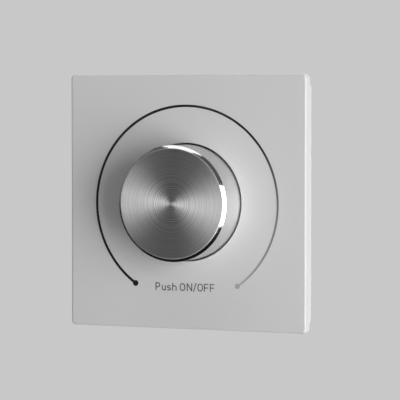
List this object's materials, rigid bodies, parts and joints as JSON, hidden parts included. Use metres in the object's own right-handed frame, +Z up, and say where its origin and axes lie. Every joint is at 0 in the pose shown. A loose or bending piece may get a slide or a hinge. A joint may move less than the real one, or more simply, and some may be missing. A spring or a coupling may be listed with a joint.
{
  "type": "rotary dimmer switch",
  "caption": "Wall dimmer on a square plate: a large round metal knob turns to set the level and pushes to switch, inside a printed level arc, with its electronics in a box behind.",
  "frame": {"origin": "on the wall plane, on the knob's axis, midway between the two wall screws", "axes": "+Z up on the wall, +Y into the wall, so the front faces -Y and +X is to the right seen from the front"},
  "size_m": [0.086, 0.0489, 0.086],
  "materials": {
    "plate": "fine matt moulding",
    "frame": "fine matt moulding",
    "knob_metal": "spun face, polished chamfer, satin side",
    "core_plastic": "moulded",
    "shaft_steel": "drawn rod",
    "spring_steel": "spring wire and strip",
    "plated_brass": "nickel plated",
    "black_plastic": "moulded",
    "rotor_plastic": "moulded",
    "contact_bronze": "stamped strip",
    "phenolic": "laminated sheet",
    "tinned_brass": "tinned",
    "switch_plastic": "moulded",
    "plunger_plastic": "natural nylon",
    "sheet_aluminium": "bare rolled sheet",
    "zinc_steel": "zinc plated",
    "board": "glass fibre laminate with solder mask",
    "ferrite": "sintered",
    "enamelled_wire": "enamelled copper wire",
    "capacitor_case": "potted case",
    "capacitor_dip": "dipped coating",
    "diode_glass": "glass with a colour band",
    "block_plastic": "moulded",
    "clamp_brass": "bare brass",
    "housing_plastic": "moulded"
  },
  "bodies": {
    "base": {"front_plate": "plate", "mounting_frame": "frame", "pot_bushing": "plated_brass", "pot_nut": "plated_brass", "pot_case": "black_plastic", "track_plate": "phenolic", "track_terminals": "tinned_brass", "switch_case": "switch_plastic", "fixed_contacts": "contact_bronze", "return_spring": "spring_steel", "heat_sink": "sheet_aluminium", "triac_body": "black_plastic", "triac_tab": "tinned_brass", "triac_screw": "zinc_steel", "circuit_board": "board", "choke_core": "ferrite", "choke_winding": "enamelled_wire", "film_capacitor": "capacitor_case", "timing_capacitor": "capacitor_dip", "fuse": "black_plastic", "resistors": "ferrite", "diac": "diode_glass", "terminal_block": "block_plastic", "wire_clamps": "clamp_brass", "terminal_screws": "zinc_steel", "rear_housing": "housing_plastic", "housing_screws": "zinc_steel"},
    "plunger": {"switch_plunger": "plunger_plastic", "moving_contact": "contact_bronze"},
    "knob": {"knob_cap": "knob_metal", "knob_core": "core_plastic", "shaft": "shaft_steel", "shaft_ring": "spring_steel"},
    "rotor": {"pot_rotor": "rotor_plastic", "wiper": "contact_bronze"},
    "latch": {"latch_pin": "spring_steel"}
  },
  "joints": [
    {"name": "push", "type": "slide", "parent": "base", "child": "plunger", "axis": [0, 1, 0], "range_m": [0, 0.002], "stiffness_N_per_m": 1500, "springref_m": -0.002, "deforming": ["return_spring"]},
    {"name": "knob_turn", "type": "hinge", "parent": "plunger", "child": "knob", "pos_m": [0, 0, 0], "axis": [0, 1, 0], "range_deg": [-145.7, 145.7]},
    {"name": "rotor_turn", "type": "hinge", "parent": "base", "child": "rotor", "pos_m": [0, 0, 0], "axis": [0, 1, 0], "range_deg": [-145.7, 145.7]},
    {"name": "latch_swing", "type": "hinge", "parent": "base", "child": "latch", "pos_m": [0, 0.018, 0], "axis": [0, 0, 1], "range_deg": [-14, 0]}
  ],
  "couplings": [
    {"joint": "rotor_turn", "follows": "knob_turn", "ratio": 1},
    {"joint": "latch_swing", "follows": "push", "rad_per_m": -120.73}
  ]
}
